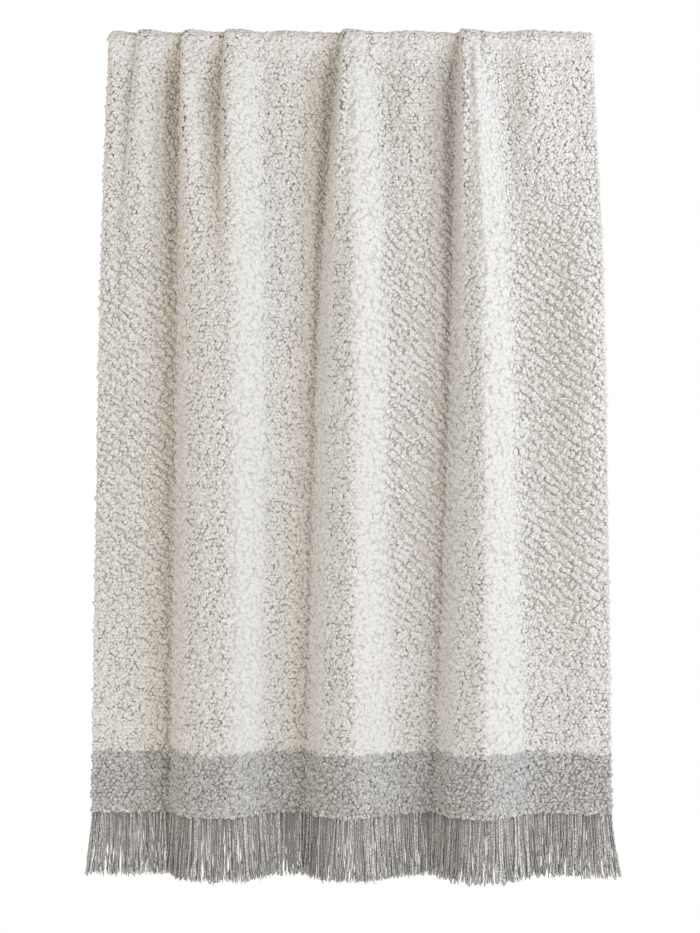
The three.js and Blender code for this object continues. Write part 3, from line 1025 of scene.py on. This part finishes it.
# %% [markdown]
# The colour of a yarn is mixed in three steps. It lies between a dark and a light shade, by the
# fibre group's tone and its own nub's tone, and settles near the dark one where the pile is full;
# the pile is fullest on the faces that the lamps light, so this is a painted evening-out of them.
# The creases then take painted shade, except on a full nub. Last, painted warm shade darkens the
# recesses.

# %% Colour of a yarn
# The tone that full pile settles to: a painted evening-out of the faces that the lamps light.
EVEN_TONE = 0.06
EVEN_SHARE = 0.7
# Painted warm shade: the colour that the recess mask multiplies into the yarn.
RECESS_PAINTED_SHADE = (0.90, 0.805, 0.665)


def yarn_colour(tree, fibre, curl, fullness_and_painted_light, crease_painted_shade, dark, light, own_tone):
    """The nodes that give a yarn its colour; the last one is handed back."""
    tone = add_node(tree, "ShaderNodeAttribute", attribute_name="yarn_tone")
    recess = add_node(tree, "ShaderNodeAttribute", attribute_name="fold_recess")
    mixed = add_node(tree, "ShaderNodeMix", {"Factor": own_tone})
    evenness = add_node(tree, "ShaderNodeMath", {1: EVEN_SHARE}, operation="MULTIPLY")
    evened = add_node(tree, "ShaderNodeMix", {"B": EVEN_TONE})
    shown = add_node(tree, "ShaderNodeMath", operation="MAXIMUM")
    yarn = add_node(tree, "ShaderNodeMix", {"A": (*dark, 1), "B": (*light, 1)}, data_type="RGBA")
    # Painted shade in the creases between turns, left off on a full nub.
    painted_crease_mix = add_node(tree, "ShaderNodeMix", {"A": (*crease_painted_shade, 1)}, data_type="RGBA")
    # Painted warm shade in the recesses.
    tint = {"B": (*RECESS_PAINTED_SHADE, 1)}
    recess_painted_shade = add_node(tree, "ShaderNodeMix", tint, data_type="RGBA", blend_type="MULTIPLY")
    connect(
        tree,
        (fibre, "Tone", mixed, "A"), (tone, "Fac", mixed, "B"),
        (fullness_and_painted_light, "Fac", evenness, 0), (evenness, "Value", evened, "Factor"),
        (mixed, "Result", evened, "A"), (evened, "Result", yarn, "Factor"),
        (curl, "Crease", shown, 0), (fullness_and_painted_light, "Fac", shown, 1),
        (shown, "Value", painted_crease_mix, "Factor"), (yarn, "Result", painted_crease_mix, "B"),
        (recess, "Fac", recess_painted_shade, "Factor"), (painted_crease_mix, "Result", recess_painted_shade, "A"),
    )
    return recess_painted_shade


# %% [markdown]
# The relief of a yarn is two bumps, one on top of the other: the turns of the yarn, which fade
# where the pile is full, and the fine fibres, which stay.

# %% Relief of a yarn
CURL_RELIEF = 0.006
FIBRE_RELIEF = 0.0008
FLATTENING = 0.85


def yarn_relief(tree, fibre, curl, fullness_and_painted_light, bump):
    """The nodes that give a yarn its bumps; the last one is handed back."""
    flattened = add_node(tree, "ShaderNodeMath", {1: -FLATTENING, 2: 1.0}, operation="MULTIPLY_ADD")
    relief = add_node(tree, "ShaderNodeMath", operation="MULTIPLY")
    coarse = add_node(tree, "ShaderNodeBump", {"Strength": bump, "Distance": CURL_RELIEF})
    fine = add_node(tree, "ShaderNodeBump", {"Strength": bump, "Distance": FIBRE_RELIEF})
    connect(
        tree,
        (fullness_and_painted_light, "Fac", flattened, 0), (curl, "Height", relief, 0),
        (flattened, "Value", relief, 1), (relief, "Value", coarse, "Height"),
        (fibre, "Height", fine, "Height"), (coarse, "Normal", fine, "Normal"),
    )
    return fine


# %% [markdown]
# A yarn material puts the parts together. The yarn is fully rough, hardly glossy, and has a soft
# pale sheen where it is seen from the side.


# %% Yarn material
def yarn_material(name, crease_painted_shade, dark, light, sizes, bump, sheen, own_tone):
    material = bpy.data.materials.new(name)
    material.use_nodes = True
    tree = material.node_tree
    shader = tree.nodes["Principled BSDF"]
    set_inputs(shader, {"Roughness": 1.0, "Specular IOR Level": 0.1})
    set_inputs(shader, {"Sheen Weight": sheen, "Sheen Roughness": 0.5})
    fibre = add_node(tree, "ShaderNodeGroup", node_tree=yarn_fibre)
    set_inputs(fibre, {"Fibre size": sizes["fibre"], "Patch size": sizes["patch"]})
    curl = add_node(tree, "ShaderNodeGroup", node_tree=yarn_curl)
    set_inputs(curl, {"Curl size": sizes["curl"]})
    fullness_and_painted_light = add_node(tree, "ShaderNodeAttribute", attribute_name="pile_fullness_and_painted_light")
    colour = yarn_colour(tree, fibre, curl, fullness_and_painted_light, crease_painted_shade, dark, light, own_tone)
    relief = yarn_relief(tree, fibre, curl, fullness_and_painted_light, bump)
    connect(tree, (colour, "Result", shader, "Base Color"), (relief, "Normal", shader, "Normal"))
    return material


# %% [markdown]
# Five yarns. Ivory and grey are the same boucle in two dyes. The ground is what shows between the
# nubs, the hem's nubs differ in tone one by one, and the fringe is a smoother plied yarn whose
# strands differ most. Each row gives the colour of the painted crease shade, then the dark and light
# colours, then how the yarn is made.

# %% The yarns
BOUCLE_SIZES = {"fibre": 290, "patch": 35, "curl": 300}
STRAND_SIZES = {"fibre": 1500, "patch": 60, "curl": 400}
YARN_COLOURS = {
    "ivory_yarn": ((0.495, 0.495, 0.492), (0.54, 0.54, 0.54), (0.74, 0.737, 0.736)),
    "grey_yarn": ((0.26, 0.26, 0.262), (0.39, 0.389, 0.392), (0.60, 0.598, 0.602)),
    "ground_yarn": ((0.50, 0.47, 0.43), (0.55, 0.53, 0.49), (0.61, 0.59, 0.56)),
    "hem_yarn": ((0.28, 0.275, 0.27), (0.40, 0.395, 0.39), (0.68, 0.665, 0.65)),
    "fringe_yarn": ((0.22, 0.217, 0.217), (0.245, 0.242, 0.243), (0.74, 0.73, 0.725)),
}


def dress(name, pieces, **make):
    """Give the pieces a yarn of the named colours, made in the given way."""
    yarn = yarn_material(name, *YARN_COLOURS[name], **make)
    for piece in pieces:
        piece.data.materials.append(yarn)
    print(name, "on", len(pieces), "pieces")


dress("ivory_yarn", ivory_nubs, sizes=BOUCLE_SIZES, bump=0.45, sheen=0.15, own_tone=0.2)
dress("grey_yarn", grey_nubs, sizes=BOUCLE_SIZES, bump=0.4, sheen=0.15, own_tone=0.5)
dress("ground_yarn", [ground], sizes=BOUCLE_SIZES, bump=0.8, sheen=0.1, own_tone=0.0)
dress("hem_yarn", [hem_nubs], sizes=BOUCLE_SIZES, bump=0.5, sheen=0.15, own_tone=1.0)
dress("fringe_yarn", [fringe_front, fringe_back], sizes=STRAND_SIZES, bump=0.12, sheen=0.2, own_tone=0.85)

# %% [markdown]
# A pale floor lies well below the fringe and ends a short way behind the throw. It glows a
# little, so that it stays nearly as pale as the surround.

# %% Floor
FLOOR_HEIGHT = -2.1
FLOOR_BACK = 0.85
FLOOR_SIDE = 8
FLOOR_GLOW = 0.45
floor_across = (-FLOOR_SIDE, FLOOR_SIDE, FLOOR_SIDE, -FLOOR_SIDE)
floor_along = (-FLOOR_SIDE, -FLOOR_SIDE, FLOOR_BACK, FLOOR_BACK)
floor_corners = [(x, y, FLOOR_HEIGHT) for x, y in zip(floor_across, floor_along)]
floor = new_piece("floor", floor_corners, [(0, 1, 2, 3)], smooth=False)
floor_paint = bpy.data.materials.new("floor_paint")
floor_paint.use_nodes = True
paint = floor_paint.node_tree.nodes["Principled BSDF"]
set_inputs(paint, {"Base Color": (0.9, 0.9, 0.9, 1), "Roughness": 0.8})
set_inputs(paint, {"Emission Color": (1, 1, 1, 1), "Emission Strength": FLOOR_GLOW})
floor.data.materials.append(floor_paint)
print("floor at", FLOOR_HEIGHT)

# %% [markdown]
# The lamps. A wide cool light from the right shapes the folds, and a weaker warm one from the left
# opens their steep walls. The third stands behind and is there for the views of the back.

# %% Lamps
LIGHT_TARGET = (0, 0, -0.8)


def soft_light(name, place, size, power, colour):
    data = bpy.data.lights.new(name, "AREA")
    data.shape = "RECTANGLE"
    data.size, data.size_y = size
    data.energy = power
    data.color = colour
    light = bpy.data.objects.new(name, data)
    light.location = place
    aim = Vector(LIGHT_TARGET) - Vector(place)
    light.rotation_euler = aim.to_track_quat("-Z", "Y").to_euler()
    bpy.context.scene.collection.objects.link(light)
    print(name, power, "W")


soft_light("right_light", (3.1, -2.0, 0.6), (3.2, 2.8), 157, (0.935, 0.97, 1.0))
soft_light("left_light", (-2.6, -2.3, 0.3), (1.6, 2.4), 54, (1.0, 0.93, 0.84))
soft_light("back_light", (-1.6, 3.0, 0.9), (2.4, 2.4), 60, (1.0, 0.98, 0.95))

# %% [markdown]
# The surround is pure white where the camera sees it. As light it is weaker and warmer, like light
# that has come back off the walls of a room.

# %% Surround
FILL_LEVEL = 0.39
FILL_COLOUR = (1.0, 0.88, 0.74)
world = bpy.data.worlds.new("studio")
bpy.context.scene.world = world
world.use_nodes = True
sky = world.node_tree
background = sky.nodes["Background"]
ray = add_node(sky, "ShaderNodeLightPath")
level = add_node(sky, "ShaderNodeMapRange", {"To Min": FILL_LEVEL, "To Max": 1.0})
tint = add_node(sky, "ShaderNodeMix", {"A": (*FILL_COLOUR, 1), "B": (1, 1, 1, 1)}, data_type="RGBA")
connect(
    sky,
    (ray, "Is Camera Ray", level, "Value"), (level, "Result", background, "Strength"),
    (ray, "Is Camera Ray", tint, "Factor"), (tint, "Result", background, "Color"),
)
bpy.context.scene.view_settings.view_transform = "Standard"
print("fill", FILL_LEVEL)

# %% [markdown]
# Last, every piece is tied to the body it rides on, and the imported part that it stands in for is
# hidden: the cloth for the ground sheet and the nubs, and each fringe for its strands.

# %% Tie the pieces to the frame
cloth_pieces = [ground, *ivory_nubs, *grey_nubs, hem_nubs]
for piece in cloth_pieces:
    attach(piece, "root")
    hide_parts("throw_cloth")
for piece, node in ((fringe_front, "fringe_front"), (fringe_back, "fringe_back")):
    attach(piece, "root")
    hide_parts(node)
